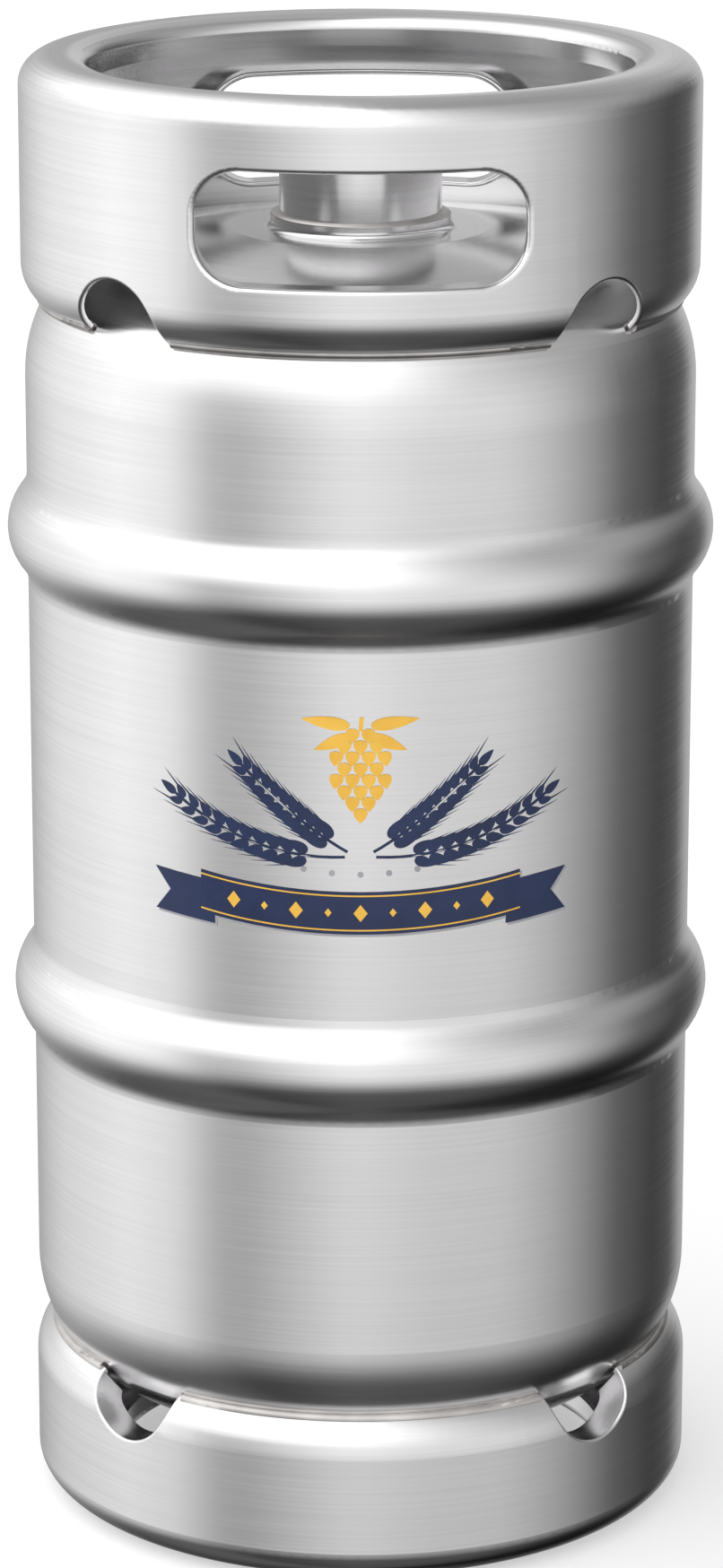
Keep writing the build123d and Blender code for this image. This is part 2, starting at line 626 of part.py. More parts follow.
# ---- build and write ----------------------------------------------------------------
top_head_outer = top_head_solid(0, top_head.crown_z(LAND_RADIUS) + COLLAR_RISE)
top_head_inner = top_head_solid(SHELL_WALL, top_head.crown_z(LAND_RADIUS) + 2 * COLLAR_RISE)
seal_core = make_seal_core()

nodes = {
    "top_chime": make_top_chime(),
    "top_chime_weld": Pos(0, 0, HEIGHT) * chime_weld(top_chime_shape, top_notch_z),
    "top_dome": top_head_outer - top_head_inner,
    "upper_girth_weld": girth_weld(upper_weld_z),
    "body_shell": shell_solid(0) - shell_solid(SHELL_WALL),
    "lower_girth_weld": girth_weld(lower_weld_z),
    "bottom_dome": bottom_head_solid(0) - bottom_head_solid(SHELL_WALL),
    "bottom_chime_weld": mirror(chime_weld(foot_shape, foot_notch_z), Plane.XY),
    "bottom_chime": make_bottom_chime(),
    "neck": make_neck(),
    "neck_weld": make_neck_weld(),
    "neck_gasket": tube(MOUTH_RADIUS, LOWER_BORE_RADIUS, neck_shoulder, housing_low),
    "valve_housing": make_valve_housing(),
    "retaining_ring": make_retaining_ring(),
    "spring_cage": make_spring_cage(),
    "tube_guide_bush": make_tube_guide_bush(),
    "main_spring": coil_spring(MAIN_MEAN_RADIUS, MAIN_WIRE, MAIN_COILS, cage_floor, plate_low),
    "valve_seal": make_valve_seal(seal_core),
    "seal_core": seal_core,
    "spring_plate": tube(PLATE_RADIUS, CUP_RADIUS + PLATE_CLEARANCE, plate_low, flange_low),
    "ball_cup": make_ball_cup(),
    "ball_spring": coil_spring(
        BALL_SPRING_MEAN_RADIUS, BALL_WIRE, BALL_COILS, cup_floor,
        ball_z - sqrt(BALL_RADIUS ** 2 - BALL_SPRING_MEAN_RADIUS ** 2) - BALL_WIRE),
    "beer_ball": Pos(0, 0, ball_z) * Sphere(BALL_RADIUS),
    "down_tube": make_down_tube(),
    "tube_weld": make_tube_weld(),
    "dust_cap": make_dust_cap(),
}

os.makedirs("parts", exist_ok=True)
for name, shape in nodes.items():
    export_step(shape, f"parts/{name}.step")
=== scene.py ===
"""Looks of the slim quarter-barrel keg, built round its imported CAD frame.

Metres, +Z up, origin on the floor under the middle of the keg. The hand holes face -Y
and +Y, and the printed mark faces -Y. Every new piece takes its place from the frame.
"""

import logging
from collections.abc import Callable
from dataclasses import dataclass
from enum import Enum
from math import atan2, cos, pi, radians, sin, tau

import bmesh
import bpy
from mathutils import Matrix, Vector


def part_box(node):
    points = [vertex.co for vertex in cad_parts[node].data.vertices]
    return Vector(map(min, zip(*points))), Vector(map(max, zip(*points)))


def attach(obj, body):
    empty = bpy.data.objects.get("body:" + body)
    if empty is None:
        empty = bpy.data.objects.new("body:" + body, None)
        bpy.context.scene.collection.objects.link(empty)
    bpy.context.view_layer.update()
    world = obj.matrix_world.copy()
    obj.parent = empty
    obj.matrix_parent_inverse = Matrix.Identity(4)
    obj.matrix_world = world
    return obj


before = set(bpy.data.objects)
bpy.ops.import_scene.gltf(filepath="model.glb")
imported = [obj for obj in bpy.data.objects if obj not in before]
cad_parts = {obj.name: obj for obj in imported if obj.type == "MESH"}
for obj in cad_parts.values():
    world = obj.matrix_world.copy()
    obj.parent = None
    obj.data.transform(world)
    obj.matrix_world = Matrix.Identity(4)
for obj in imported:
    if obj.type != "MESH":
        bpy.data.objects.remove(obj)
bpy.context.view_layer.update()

logging.basicConfig(level=logging.INFO, format="%(message)s")
log = logging.getLogger("keg")

MM = 0.001
WHITE = (1.0, 1.0, 1.0, 1.0)

Point = tuple[float, float]
Colour = tuple[float, float, float]
Stops = tuple[tuple[float, float], ...]


# ---- shader maths ---------------------------------------------------------------------
class Value:
    """A shader socket that Python's operators join with Math nodes."""

    def __init__(self, graph: "Graph", socket: bpy.types.NodeSocket) -> None:
        """Wrap one output socket of a graph."""
        self.graph = graph
        self.socket = socket

    def _join(self, operation: str, first: "Value | float", second: "Value | float") -> "Value":
        """Add a Math node for one operation on two values."""
        return self.graph.node("ShaderNodeMath", {"operation": operation}, {0: first, 1: second}).value()

    def __add__(self, other: "Value | float") -> "Value":
        """Sum of two values."""
        return self._join("ADD", self, other)

    def __radd__(self, other: float) -> "Value":
        """Sum with a number on the left."""
        return self._join("ADD", other, self)

    def __sub__(self, other: "Value | float") -> "Value":
        """Difference of two values."""
        return self._join("SUBTRACT", self, other)

    def __rsub__(self, other: float) -> "Value":
        """Difference with a number on the left."""
        return self._join("SUBTRACT", other, self)

    def __mul__(self, other: "Value | float") -> "Value":
        """Product of two values."""
        return self._join("MULTIPLY", self, other)

    def __rmul__(self, other: float) -> "Value":
        """Product with a number on the left."""
        return self._join("MULTIPLY", other, self)

    def __truediv__(self, other: "Value | float") -> "Value":
        """Quotient of two values."""
        return self._join("DIVIDE", self, other)

    def __rtruediv__(self, other: float) -> "Value":
        """Quotient with a number on the left."""
        return self._join("DIVIDE", other, self)

    def __pow__(self, other: "Value | float") -> "Value":
        """This value raised to a power."""
        return self._join("POWER", self, other)

    def between(self, low: float, high: float) -> "Value":
        """Smooth step over a range.

        Args:
            low: where the step is 0.
            high: where it reaches 1.

        Returns:
            The step's value.
        """
        settings = {"interpolation_type": "SMOOTHSTEP"}
        inputs = {"Value": self, "From Min": low, "From Max": high}
        return self.graph.node("ShaderNodeMapRange", settings, inputs).value("Result")


class Placed:
    """A node already in a graph."""

    def __init__(self, graph: "Graph", node: bpy.types.Node) -> None:
        """Keep the node beside its graph."""
        self.graph = graph
        self.node = node

    def value(self, output: str | int = 0) -> Value:
        """One of the node's outputs, by name or number, ready for maths."""
        return Value(self.graph, self.node.outputs[output])


class Graph:
    """The node tree of a material or world, emptied and ready to fill."""

    def __init__(self, owner: "bpy.types.Material | bpy.types.World") -> None:
        """Switch nodes on and clear what is there.

        Args:
            owner: the material or world that holds the tree.
        """
        owner.use_nodes = True
        of_world = isinstance(owner, bpy.types.World)
        self.output_kind = "ShaderNodeOutputWorld" if of_world else "ShaderNodeOutputMaterial"
        self.tree = owner.node_tree
        self.tree.nodes.clear()

    def node(self, kind: str, settings: dict | None = None, inputs: dict | None = None) -> Placed:
        """Add a node, make its settings, then set or link its inputs.

        Args:
            kind: the node's type name.
            settings: properties to set first; "stops" lists a ramp's (place, level) pairs.
            inputs: numbers, colours or Values by socket name or number.

        Returns:
            The placed node.
        """
        made = self.tree.nodes.new(kind)
        for name, setting in (settings or {}).items():
            if name == "stops":
                self._set_stops(made.color_ramp, setting)
            else:
                setattr(made, name, setting)
        for key, given in (inputs or {}).items():
            if isinstance(given, Value):
                self.tree.links.new(given.socket, made.inputs[key])
            else:
                made.inputs[key].default_value = given
        return Placed(self, made)

    @staticmethod
    def _set_stops(ramp: bpy.types.ColorRamp, stops: Stops) -> None:
        """Give a ramp its grey stops.

        Args:
            ramp: the ramp to fill.
            stops: (place, level) pairs in order of place.
        """
        while len(ramp.elements) < len(stops):
            ramp.elements.new(0.5)
        for element, (place, _) in zip(ramp.elements, stops):
            element.position = place
        for element, (_, level) in zip(ramp.elements, stops):
            element.color = (level, level, level, 1.0)

    def ramp(self, place: Value, stops: Stops) -> Value:
        """Grey level by place along a ramp's stops."""
        return self.node("ShaderNodeValToRGB", {"stops": stops}, {0: place}).value("Color")

    def noise(self, place: Value, scale: float, detail: float) -> Value:
        """Noise from 0 to 1 round a place."""
        inputs = {"Vector": place, "Scale": scale, "Detail": detail}
        return self.node("ShaderNodeTexNoise", None, inputs).value("Fac")

    def split(self, vector: Value) -> tuple[Value, Value, Value]:
        """The three parts of a vector."""
        parts = self.node("ShaderNodeSeparateXYZ", None, {0: vector})
        return parts.value("X"), parts.value("Y"), parts.value("Z")

    def vector(self, x: "Value | float", y: "Value | float", z: "Value | float") -> Value:
        """A vector from three values."""
        return self.node("ShaderNodeCombineXYZ", None, {"X": x, "Y": y, "Z": z}).value()

    def vector_maths(self, operation: str, inputs: dict) -> Value:
        """One Vector Math operation on inputs by socket name or number."""
        return self.node("ShaderNodeVectorMath", {"operation": operation}, inputs).value()

    def mix_colour(self, factor: "Value | float", low: Colour, high: Colour) -> Value:
        """Blend two colours.

        Args:
            factor: 0 for the first colour and 1 for the second.
            low: the first colour.
            high: the second colour.

        Returns:
            The blended colour.
        """
        made = self.node("ShaderNodeMix", {"data_type": "RGBA"})
        sockets = {"Factor_Float": factor, "A_Color": (*low, 1.0), "B_Color": (*high, 1.0)}
        for socket in made.node.inputs:
            given = sockets.get(socket.identifier)
            if isinstance(given, Value):
                self.tree.links.new(given.socket, socket)
            elif given is not None:
                socket.default_value = given
        result = next(out for out in made.node.outputs if out.identifier == "Result_Color")
        return Value(self, result)

    def surface(self, shader: Placed) -> None:
        """Link the finished shader to the output."""
        output = self.node(self.output_kind)
        self.tree.links.new(shader.node.outputs[0], output.node.inputs["Surface"])


# ---- finishes ------------------------------------------------------------------------
@dataclass(frozen=True)
class BrushedSteel:
    """Stainless sheet brushed round the keg, with faint handling marks.

    Lines and changes along them are counted in a metre, and the broad brushing has fewer
    of both by its two ratios. The groove's depth is in millimetres.
    """

    name: str = "brushed_stainless"
    tint: Colour = (0.80, 0.795, 0.80)
    shade: Colour = (0.70, 0.695, 0.70)
    tint_range: Point = (0.25, 0.75)
    roughness: float = 0.15
    spread: float = 0.09
    fine_share: float = 0.5
    broad_share: float = 0.3
    smear_share: float = 0.4
    lines: float = 900.0
    along: float = 7.0
    lines_ratio: float = 6.0
    along_ratio: float = 2.0
    line_detail: float = 2.0
    smear_scale: float = 9.0
    smear_detail: float = 4.0
    tilt: float = 0.05
    groove: float = 0.08
    groove_depth: float = 0.05

    def build(self) -> bpy.types.Material:
        """Make the material.

        Returns:
            The finished material.
        """
        material = bpy.data.materials.new(self.name)
        graph = Graph(material)
        place = graph.node("ShaderNodeTexCoord").value("Object")
        x, y, z = graph.split(place)
        reach = (x * x + y * y) ** 0.5
        fine = self._brushing(graph, (x, y, z, reach), self.lines, self.along)
        broad = self._brushing(graph, (x, y, z, reach), self.lines / self.lines_ratio,
                               self.along / self.along_ratio)
        smear = graph.noise(place, self.smear_scale, self.smear_detail)
        bright = fine.between(*self.tint_range) * 0.5 + broad * 0.5
        marks = self.fine_share * fine + self.broad_share * broad + self.smear_share * smear
        around = graph.vector_maths("NORMALIZE", {0: graph.vector(0.0 - y, x, 0.0)})
        lean = graph.vector_maths("SCALE", {0: around, "Scale": (fine - 0.5) * self.tilt})
        normal = graph.node("ShaderNodeNewGeometry").value("Normal")
        leaned = graph.vector_maths("NORMALIZE", {0: graph.vector_maths("ADD", {0: normal, 1: lean})})
        bump = graph.node("ShaderNodeBump", None, {
            "Strength": self.groove, "Distance": self.groove_depth * MM, "Height": fine, "Normal": leaned})
        graph.surface(graph.node("ShaderNodeBsdfPrincipled", None, {
            "Base Color": graph.mix_colour(bright, self.shade, self.tint),
            "Metallic": 1.0,
            "Roughness": self.roughness + self.spread * marks,
            "Normal": bump.value()}))
        return material

    def _brushing(self, graph: Graph, place: tuple[Value, Value, Value, Value],
                  across: float, along: float) -> Value:
        """Noise drawn out round the axis.

        Args:
            graph: the material's graph.
            place: x, y, z and the distance from the axis.
            across: lines in a metre across the brushing.
            along: changes in a metre along it.

        Returns:
            Noise from 0 to 1.
        """
        x, y, z, reach = place
        vector = graph.vector(x * along, y * along, z * across)
        return graph.node("ShaderNodeTexNoise", {"noise_dimensions": "4D"}, {
            "Vector": vector, "W": reach * across, "Scale": 1.0, "Detail": self.line_detail}).value("Fac")


@dataclass(frozen=True)
class Solid:
    """A plain stuff with a fine grain: welds, springs, rubber, plastics and inks.

    The grain is counted in a metre and its depth is in millimetres. Clouds in its colour
    are broader than the grain by their ratio.
    """

    name: str
    light: Colour
    dark: Colour
    roughness: float
    metallic: float = 0.0
    grain: float = 900.0
    depth: float = 0.02
    grain_detail: float = 3.0
    grain_strength: float = 0.3
    cloud_ratio: float = 12.0
    cloud_detail: float = 2.0
    cloud_range: Point = (0.3, 0.7)
    spread: float = 0.12

    def build(self) -> bpy.types.Material:
        """Make the material.

        Returns:
            The finished material.
        """
        material = bpy.data.materials.new(self.name)
        graph = Graph(material)
        place = graph.node("ShaderNodeTexCoord").value("Object")
        grain = graph.noise(place, self.grain, self.grain_detail)
        cloud = graph.noise(place, self.grain / self.cloud_ratio, self.cloud_detail)
        bump = graph.node("ShaderNodeBump", None, {
            "Strength": self.grain_strength, "Distance": self.depth * MM, "Height": grain})
        graph.surface(graph.node("ShaderNodeBsdfPrincipled", None, {
            "Base Color": graph.mix_colour(cloud.between(*self.cloud_range), self.dark, self.light),
            "Metallic": self.metallic,
            "Roughness": self.roughness + self.spread * (grain - 0.5),
            "Normal": bump.value()}))
        return material


def finishes() -> dict[str, bpy.types.Material]:
    """Make every finish once.

    Returns:
        Materials by the record's slot names.
    """
    stuffs = {
        "shell_steel": BrushedSteel(),
        "turned_steel": BrushedSteel("turned_stainless", lines=1600.0, roughness=0.16, spread=0.08,
                                     tilt=0.02),
        "weld_steel": Solid("weld_bead_steel", (0.62, 0.60, 0.58), (0.48, 0.46, 0.45), 0.36,
                            metallic=1.0, grain=700.0, depth=0.05),
        "spring_steel": Solid("spring_wire", (0.58, 0.58, 0.60), (0.46, 0.46, 0.48), 0.28, metallic=1.0),
        "seal_rubber": Solid("seal_rubber_black", (0.022, 0.022, 0.023), (0.013, 0.013, 0.014), 0.55),
        "bush_plastic": Solid("bush_plastic_white", (0.82, 0.81, 0.78), (0.76, 0.75, 0.72), 0.4),
        "cap_plastic": Solid("cap_plastic_black", (0.014, 0.014, 0.016), (0.009, 0.009, 0.010), 0.34),
    }
    return {slot: stuff.build() for slot, stuff in stuffs.items()}


def dress_frame(materials: dict[str, bpy.types.Material]) -> None:
    """Give every CAD node the finish of its slot.

    Args:
        materials: finishes by slot name.
    """
    for name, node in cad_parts.items():
        for slot in node.material_slots:
            slot.material = materials[slot.material.name.split(".")[0]]
        log.info("dressed %s", name)


# ---- printed mark ---------------------------------------------------------------------
class Ink(Enum):
    """The inks of the mark, with their pieces' names."""

    GREY = "printed_mark_grey"
    NAVY = "printed_mark_navy"
    GOLD = "printed_mark_gold"


@dataclass
class Printer:
    """Stamps flat shapes of one ink, then rolls them onto the body.

    Shapes are given in millimetres across and up from the mark's middle.
    """

    ink: Ink
    material: bpy.types.Material
    radius: float
    height: float
    lift: float
    film: float = 0.06 * MM

    def start(self) -> None:
        """Open an empty piece in edit mode."""
        bpy.ops.object.select_all(action="DESELECT")
        bpy.ops.mesh.primitive_plane_add()
        bpy.context.active_object.name = self.ink.value
        bpy.ops.object.mode_set(mode="EDIT")
        bpy.ops.mesh.delete(type="VERT")

    def outline(self, points: list[Point]) -> None:
        """Stamp one filled shape.

        Args:
            points: its corners in order.
        """
        bpy.ops.mesh.primitive_circle_add(vertices=len(points), radius=MM, fill_type="NGON")
        self._place(lambda number, _: points[number])

    def band(self, columns: int, rows: int, shape: Callable[[float, float], Point]) -> None:
        """Stamp a grid and shape it.

        Args:
            columns: divisions along the band.
            rows: divisions across it.
            shape: gives the place from two fractions, along and across.
        """
        bpy.ops.mesh.primitive_grid_add(x_subdivisions=columns, y_subdivisions=rows, size=2.0)
        self._place(lambda _, old: shape(old.x / 2 + 0.5, old.y / 2 + 0.5))

    @staticmethod
    def _place(find: Callable[[int, Vector], Point]) -> None:
        """Move the newest shape's corners, then let go of it.

        Args:
            find: gives a corner's new place from its number and its old place.
        """
        mesh = bmesh.from_edit_mesh(bpy.context.edit_object.data)
        corners = [vert for vert in mesh.verts if vert.select]
        for number, corner in enumerate(corners):
            across, up = find(number, corner.co)
            corner.co = (across * MM, up * MM, 0.0)
        bmesh.update_edit_mesh(bpy.context.edit_object.data)
        bpy.ops.mesh.select_all(action="DESELECT")

    @staticmethod
    def _face_outwards() -> None:
        """Turn every face outwards, in edit mode."""
        bpy.ops.mesh.select_all(action="SELECT")
        bpy.ops.mesh.normals_make_consistent(inside=False)

    def finish(self) -> None:
        """Give the shapes their film of ink and roll them onto the body."""
        self._face_outwards()
        bpy.ops.object.mode_set(mode="OBJECT")
        piece = bpy.context.active_object
        solid = piece.modifiers.new("film", "SOLIDIFY")
        solid.thickness = self.film
        solid.offset = 0.0
        bpy.ops.object.modifier_apply(modifier=solid.name)
        for vert in piece.data.vertices:
            reach = self.radius + self.lift + self.film / 2 + vert.co.z
            turn = vert.co.x / self.radius
            vert.co = (reach * sin(turn), -reach * cos(turn), self.height + vert.co.y)
        bpy.ops.object.mode_set(mode="EDIT")
        self._face_outwards()
        bpy.ops.object.mode_set(mode="OBJECT")
        piece.data.materials.clear()
        piece.data.materials.append(self.material)
        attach(piece, "root")
        log.info("made %s", piece.name)


@dataclass(frozen=True)
class Seed:
    """Pointed outline, round behind and sharp ahead: kernels, scales and leaves."""

    length: float
    width: float
    fullness: float = 0.65
    corners: int = 18

    def outline(self, middle: Vector, heading: float, size: float = 1.0) -> list[Point]:
        """Corners of one seed.

        Args:
            middle: its middle.
            heading: angle of its point from the right.
            size: its scale.

        Returns:
            The corners in order.
        """
        points = []
        for index in range(self.corners):
            angle = tau * index / self.corners
            along = self.length * size / 2 * cos(angle)
            side = self.fullness * self.width * size * sin(angle) * sin(angle / 2)
            points.append((middle.x + along * cos(heading) - side * sin(heading),
                           middle.y + along * sin(heading) + side * cos(heading)))
        return points


def mirrored(points: list[Point], side: int) -> list[Point]:
    """An outline on its own side, 1, or on the other, -1."""
    return [(side * across, up) for across, up in points]


def heading_step(heading: float) -> Vector:
    """One millimetre towards a heading."""
    return Vector((cos(heading), sin(heading)))


def side_step(heading: float) -> Vector:
    """One millimetre to the left of a heading."""
    return Vector((-sin(heading), cos(heading)))


@dataclass(frozen=True)
class BarleyEar:
    """A right-hand ear: pairs of kernels with awns, on a curved stem."""

    stem: tuple[Point, Point, Point]
    pairs: int = 10
    first_pair: float = 0.26
    pair_run: float = 0.70
    taper: float = 0.35
    kernel: Seed = Seed(8.8, 4.4)
    kernel_lean: float = 24.0
    kernel_offset: float = 3.3
    awn_root: float = 4.0
    awn_lean: float = 13.0
    awn_length: float = 8.5
    awn_half: float = 0.28
    tip: Seed = Seed(8.0, 3.4)
    tip_ahead: float = 2.0
    stem_half: float = 0.55
    stem_steps: int = 14

    def stamp(self, printer: Printer, side: int) -> None:
        """Print the ear.

        Args:
            printer: the ink's printer.
            side: 1 for the right, -1 for the left.
        """
        for index in range(self.pairs):
            share = self.first_pair + self.pair_run * index / (self.pairs - 1)
            size = 1.0 - self.taper * (index / self.pairs) ** 2
            for way in (-1, 1):
                for points in self._kernel(share, size, way):
                    printer.outline(mirrored(points, side))
        end, heading = self._along(1.0)
        tip = self.tip.outline(end + heading_step(heading) * self.tip_ahead, heading)
        printer.outline(mirrored(tip, side))
        printer.outline(mirrored(self._stalk(), side))

    def _along(self, share: float) -> tuple[Vector, float]:
        """Place and heading at a share of the stem."""
        start, bend, end = (Vector(point) for point in self.stem)
        before = start.lerp(bend, share)
        after = bend.lerp(end, share)
        way = after - before
        return before.lerp(after, share), atan2(way.y, way.x)

    def _kernel(self, share: float, size: float, way: int) -> tuple[list[Point], list[Point]]:
        """One kernel and its awn.

        Args:
            share: place along the stem.
            size: the kernel's scale.
            way: 1 for the stem's left, -1 for its right.

        Returns:
            The two outlines.
        """
        place, heading = self._along(share)
        lean = heading + way * radians(self.kernel_lean)
        middle = place + side_step(heading) * way * self.kernel_offset * size
        root = middle + heading_step(lean) * self.awn_root * size
        sweep = heading + way * radians(self.awn_lean)
        half = side_step(sweep) * self.awn_half
        end = root + heading_step(sweep) * self.awn_length
        return (self.kernel.outline(middle, lean, size),
                [tuple(root - half), tuple(end), tuple(root + half)])

    def _stalk(self) -> list[Point]:
        """Outline of the stem itself."""
        edge = [self._along(index / self.stem_steps) for index in range(self.stem_steps + 1)]
        upper = [tuple(place + side_step(heading) * self.stem_half) for place, heading in edge]
        lower = [tuple(place - side_step(heading) * self.stem_half) for place, heading in edge]
        return lower + upper[::-1]


@dataclass(frozen=True)
class Ribbon:
    """A ribbon bowed upwards at its ends, with a swallow tail behind each."""

    half: float = 64.0
    low: float = -42.0
    rise: float = 17.0
    bow: float = 5.0
    grid: tuple[int, int] = (48, 2)
    tail_grid: tuple[int, int] = (12, 8)
    tail_notch: float = 7.0
    tail_overlap: float = 6.0
    tail_length: float = 27.0
    tail_drop: float = 3.6
    tail_bow_start: float = 0.9
    tail_bow_gain: float = 0.5
    piping: float = 0.6
    piping_inset: float = 1.3
    lozenges: int = 4
    lozenge_step: float = 12.5
    lozenge_sizes: Point = (3.4, 1.7)
    lozenge_width: float = 0.8

    def panel(self, printer: Printer, offset: Point = (0.0, 0.0)) -> None:
        """Print the middle panel, moved by an offset."""
        self._strip(printer, self.low, self.rise, offset)

    def _strip(self, printer: Printer, low: float, rise: float, offset: Point = (0.0, 0.0)) -> None:
        """Print a strip that follows the bow.

        Args:
            printer: the ink's printer.
            low: its lower edge at the middle.
            rise: its height.
            offset: how far it is moved.
        """
        def shape(along: float, across: float) -> Point:
            """Place on the strip from two fractions."""
            reach = 2 * along - 1
            return reach * self.half + offset[0], low + across * rise + self._bowed(reach) + offset[1]

        printer.band(*self.grid, shape)

    def _bowed(self, reach: float) -> float:
        """How far the ribbon has risen at a share of its half length."""
        return self.bow * reach * reach

    def tail(self, printer: Printer, side: int, offset: Point = (0.0, 0.0)) -> None:
        """Print one swallow tail.

        Args:
            printer: the ink's printer.
            side: 1 for the right, -1 for the left.
            offset: how far it is moved.
        """
        def shape(along: float, across: float) -> Point:
            """Place on the tail from two fractions."""
            notch = self.tail_notch * along * (1 - abs(2 * across - 1))
            reach = self.half - self.tail_overlap + along * self.tail_length - notch
            bow = self.bow * (self.tail_bow_start + self.tail_bow_gain * along)
            up = self.low - self.tail_drop + across * self.rise + bow
            return side * reach + offset[0], up + offset[1]

        printer.band(*self.tail_grid, shape)

    def trim(self, printer: Printer) -> None:
        """Print the lozenges along the panel and the piping at its edges."""
        for index in range(-self.lozenges, self.lozenges + 1):
            across = index * self.lozenge_step
            up = self.low + self.rise / 2 + self._bowed(across / self.half)
            size = self.lozenge_sizes[index % 2]
            wide = size * self.lozenge_width
            printer.outline([(across - wide, up), (across, up - size), (across + wide, up),
                             (across, up + size)])
        for edge in (self.piping_inset, self.rise - self.piping_inset - self.piping):
            self._strip(printer, self.low + edge, self.piping)


@dataclass(frozen=True)
class HopCone:
    """A hanging hop cone: rows of scales under two pairs of leaves and a stalk."""

    rows: tuple[int, ...] = (2, 3, 4, 3, 4, 3, 2, 1)
    top: float = 37.0
    row_step: float = 4.5
    column_step: float = 6.3
    fan: float = 0.12
    scale: Seed = Seed(6.0, 5.5)
    leaf_root: float = 4.0
    leaf_width: float = 5.2
    leaves: tuple[tuple[float, float, float], ...] = ((41.0, 19.0, 8.0), (37.0, 15.0, -22.0))
    stalk: tuple[Point, ...] = ((-0.8, 39.0), (0.8, 39.0), (1.4, 44.5), (-0.4, 44.5))

    def stamp(self, printer: Printer) -> None:
        """Print the cone, its leaves and its stalk."""
        for row, count in enumerate(self.rows):
            for index in range(count):
                column = index - (count - 1) / 2
                middle = Vector((column * self.column_step, self.top - row * self.row_step))
                printer.outline(self.scale.outline(middle, column * self.fan - pi / 2))
        for side in (-1, 1):
            for up, length, heading in self.leaves:
                printer.outline(mirrored(self._leaf(up, length, radians(heading)), side))
        printer.outline(list(self.stalk))

    def _leaf(self, up: float, length: float, heading: float) -> list[Point]:
        """Outline of one right-hand leaf.

        Args:
            up: height of its root.
            length: its length.
            heading: angle of its point from the right.

        Returns:
            The corners in order.
        """
        middle = Vector((self.leaf_root + length / 2 * cos(heading), up + length / 2 * sin(heading)))
        return Seed(length, self.leaf_width).outline(middle, heading)


@dataclass(frozen=True)
class DotRow:
    """A short row of dots, bowed upwards at its ends."""

    each_side: int = 2
    step: float = 11.0
    height: float = -18.0
    bow: float = 0.45
    radius: float = 1.2
    corners: int = 16

    def stamp(self, printer: Printer) -> None:
        """Print the dots."""
        turns = [tau * corner / self.corners for corner in range(self.corners)]
        for index in range(-self.each_side, self.each_side + 1):
            middle = Vector((self.step * index, self.height + self.bow * index * index))
            printer.outline([(middle.x + self.radius * cos(turn), middle.y + self.radius * sin(turn))
                             for turn in turns])


@dataclass(frozen=True)
class PrintedMark:
    """A hop cone over two pairs of barley ears and a ribbon, with no lettering."""

    height: float = 314.0 * MM
    first_lift: float = 0.03 * MM
    layer_lift: float = 0.07 * MM
    shadow: Point = (1.0, -1.0)
    ears: tuple[BarleyEar, ...] = (BarleyEar(((6.0, -11.0), (42.0, -13.0), (77.0, 10.0))),
                                   BarleyEar(((5.0, -9.0), (24.0, 2.0), (48.0, 25.0))))
    ribbon: Ribbon = Ribbon()
    cone: HopCone = HopCone()
    dots: DotRow = DotRow()

    def build(self, radius: float) -> None:
        """Print the three inks, each a layer over the one before.

        Args:
            radius: outside radius of the body.
        """
        layers = (
            (Ink.GREY, Solid("print_grey", (0.34, 0.34, 0.36), (0.28, 0.28, 0.30), 0.45),
             self._shadows_and_dots),
            (Ink.NAVY, Solid("print_navy", (0.007, 0.020, 0.080), (0.005, 0.014, 0.060), 0.38),
             self._ears_and_ribbon),
            (Ink.GOLD, Solid("print_gold", (0.80, 0.47, 0.055), (0.72, 0.40, 0.04), 0.4),
             self._cone_and_trim),
        )
        for layer, (ink, finish, stamp) in enumerate(layers):
            lift = self.first_lift + self.layer_lift * layer
            printer = Printer(ink, finish.build(), radius, self.height, lift)
            printer.start()
            stamp(printer)
            printer.finish()

    def _shadows_and_dots(self, printer: Printer) -> None:
        """Print the ribbon's shadow and the row of dots."""
        for side in (-1, 1):
            self.ribbon.tail(printer, side, self.shadow)
        self.ribbon.panel(printer, self.shadow)
        self.dots.stamp(printer)

    def _ears_and_ribbon(self, printer: Printer) -> None:
        """Print the barley ears, the ribbon and its tails."""
        for side in (-1, 1):
            for ear in self.ears:
                ear.stamp(printer, side)
            self.ribbon.tail(printer, side)
        self.ribbon.panel(printer)

    def _cone_and_trim(self, printer: Printer) -> None:
        """Print the hop cone and the ribbon's trim."""
        self.cone.stamp(printer)
        self.ribbon.trim(printer)


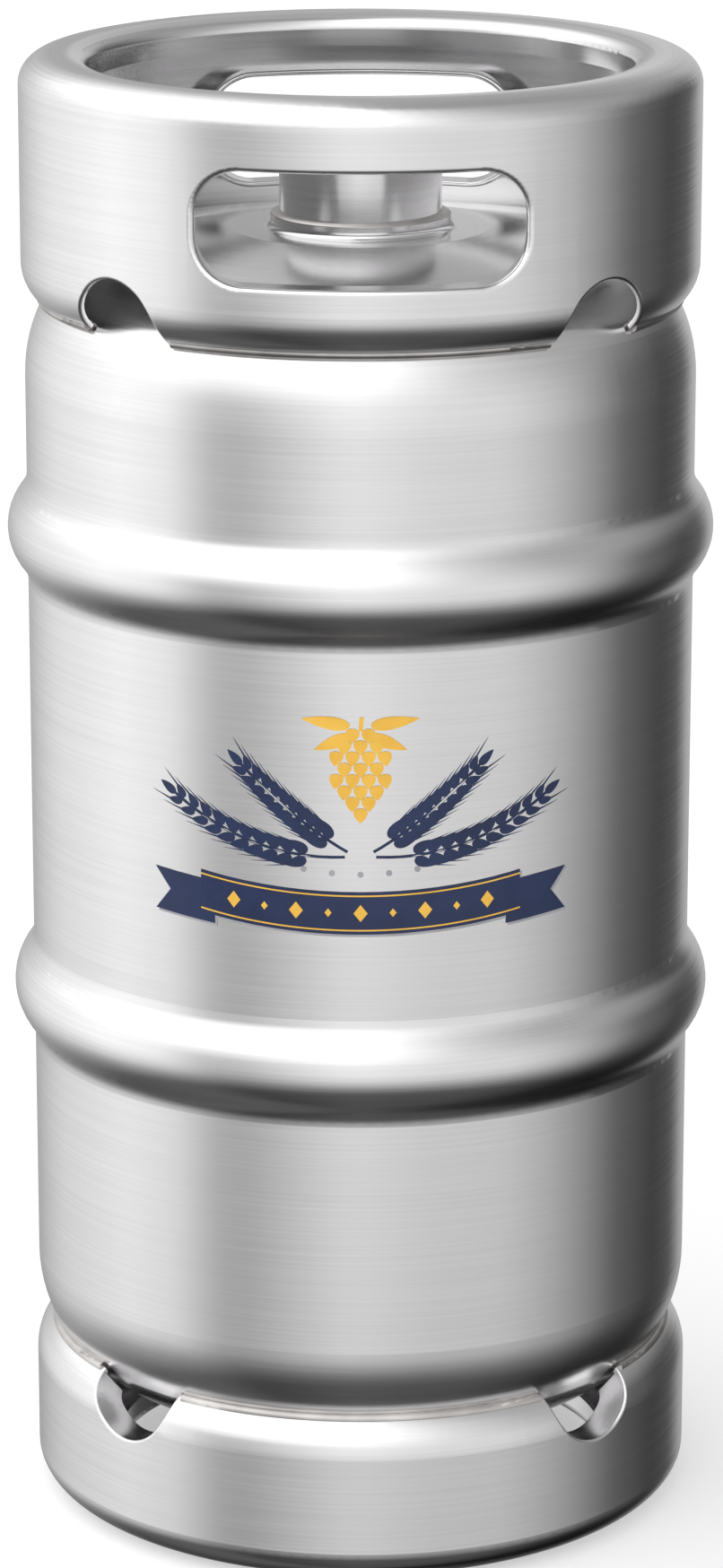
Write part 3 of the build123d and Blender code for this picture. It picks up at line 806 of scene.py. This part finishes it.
# ---- studio ---------------------------------------------------------------------------
@dataclass(frozen=True)
class Studio:
    """Pale floor, soft light all round with one dim side, and the camera.

    The light's stops are (place, level) pairs. Places run once round the keg from +Y,
    anticlockwise seen from above, or from straight down at 0 to straight up at 1.
    """

    camera_place: tuple[float, float, float] = (0.37 * MM, -2.1956, 0.90608)
    camera_tilt: float = 74.447
    camera_near: float = 0.01
    lens: float = 128.65
    floor_size: float = 40.0
    floor_paint: tuple[float, float, float, float] = (0.6, 0.6, 0.6, 1.0)
    floor_roughness: float = 0.9
    floor_glow: float = 0.45
    beside: Stops = (
        (0.0, 0.40), (0.06, 0.58), (0.14, 1.0), (0.25, 1.28), (0.31, 1.14), (0.36, 0.62),
        (0.39, 0.60), (0.48, 1.05), (0.50, 1.07), (0.57, 0.92), (0.64, 0.87), (0.69, 0.66),
        (0.78, 0.16), (0.85, 0.065), (0.90, 0.12), (0.94, 0.52), (1.0, 0.66))
    above: Stops = (
        (0.0, 0.28), (0.12, 0.9), (0.30, 1.0), (0.50, 1.0), (0.60, 0.55), (0.70, 0.32),
        (0.85, 0.22), (1.0, 0.28))
    upwards: Stops = (
        (0.0, 0.09), (0.13, 0.10), (0.21, 0.34), (0.28, 0.68), (0.33, 0.84), (0.38, 0.97),
        (0.45, 1.05), (1.0, 1.05))
    above_range: Point = (0.05, 0.6)
    above_gain: float = 1.6

    def light(self) -> None:
        """Wrap the keg in soft panels, drawn on the world by direction."""
        world = bpy.data.worlds.new("studio_light")
        bpy.context.scene.world = world
        graph = Graph(world)
        x, y, z = graph.split(graph.node("ShaderNodeTexCoord").value("Generated"))
        angle = graph.node("ShaderNodeMath", {"operation": "ARCTAN2"}, {0: x, 1: 0.0 - y}).value()
        turn = angle / tau + 0.5
        beside = graph.ramp(turn, self.beside)
        above = graph.ramp(turn, self.above)
        upwards = graph.ramp(z * 0.5 + 0.5, self.upwards)
        high = z.between(*self.above_range)
        strength = (beside * (1.0 - high) + above * self.above_gain * high) * upwards
        room = graph.node("ShaderNodeBackground", None, {"Color": WHITE, "Strength": strength})
        backdrop = graph.node("ShaderNodeBackground", None, {"Color": WHITE, "Strength": 1.0})
        camera_ray = graph.node("ShaderNodeLightPath").value("Is Camera Ray")
        graph.surface(graph.node("ShaderNodeMixShader", None, {
            0: camera_ray, 1: room.value(), 2: backdrop.value()}))

    def floor(self) -> None:
        """Lay a plain pale floor that the steel doesn't mirror."""
        bpy.ops.mesh.primitive_plane_add(size=self.floor_size)
        floor = bpy.context.active_object
        floor.name = "studio_floor"
        material = bpy.data.materials.new("studio_floor_paint")
        graph = Graph(material)
        graph.surface(graph.node("ShaderNodeBsdfPrincipled", None, {
            "Base Color": self.floor_paint, "Roughness": self.floor_roughness,
            "Emission Color": WHITE, "Emission Strength": self.floor_glow}))
        floor.data.materials.append(material)
        floor.visible_glossy = False

    def camera(self) -> None:
        """Stand the camera in front of the keg, looking slightly down."""
        bpy.ops.object.camera_add(location=self.camera_place, rotation=(radians(self.camera_tilt), 0.0, 0.0))
        camera = bpy.context.active_object
        camera.data.lens = self.lens
        camera.data.clip_start = self.camera_near
        bpy.context.scene.camera = camera


def main() -> None:
    """Build the keg's looks in order and report each piece."""
    bpy.ops.object.select_all(action="DESELECT")
    bpy.context.scene.view_settings.view_transform = "Standard"
    dress_frame(finishes())
    PrintedMark().build(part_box("upper_girth_weld")[1][0])
    studio = Studio()
    studio.light()
    studio.floor()
    studio.camera()


if __name__ == "__main__":
    main()
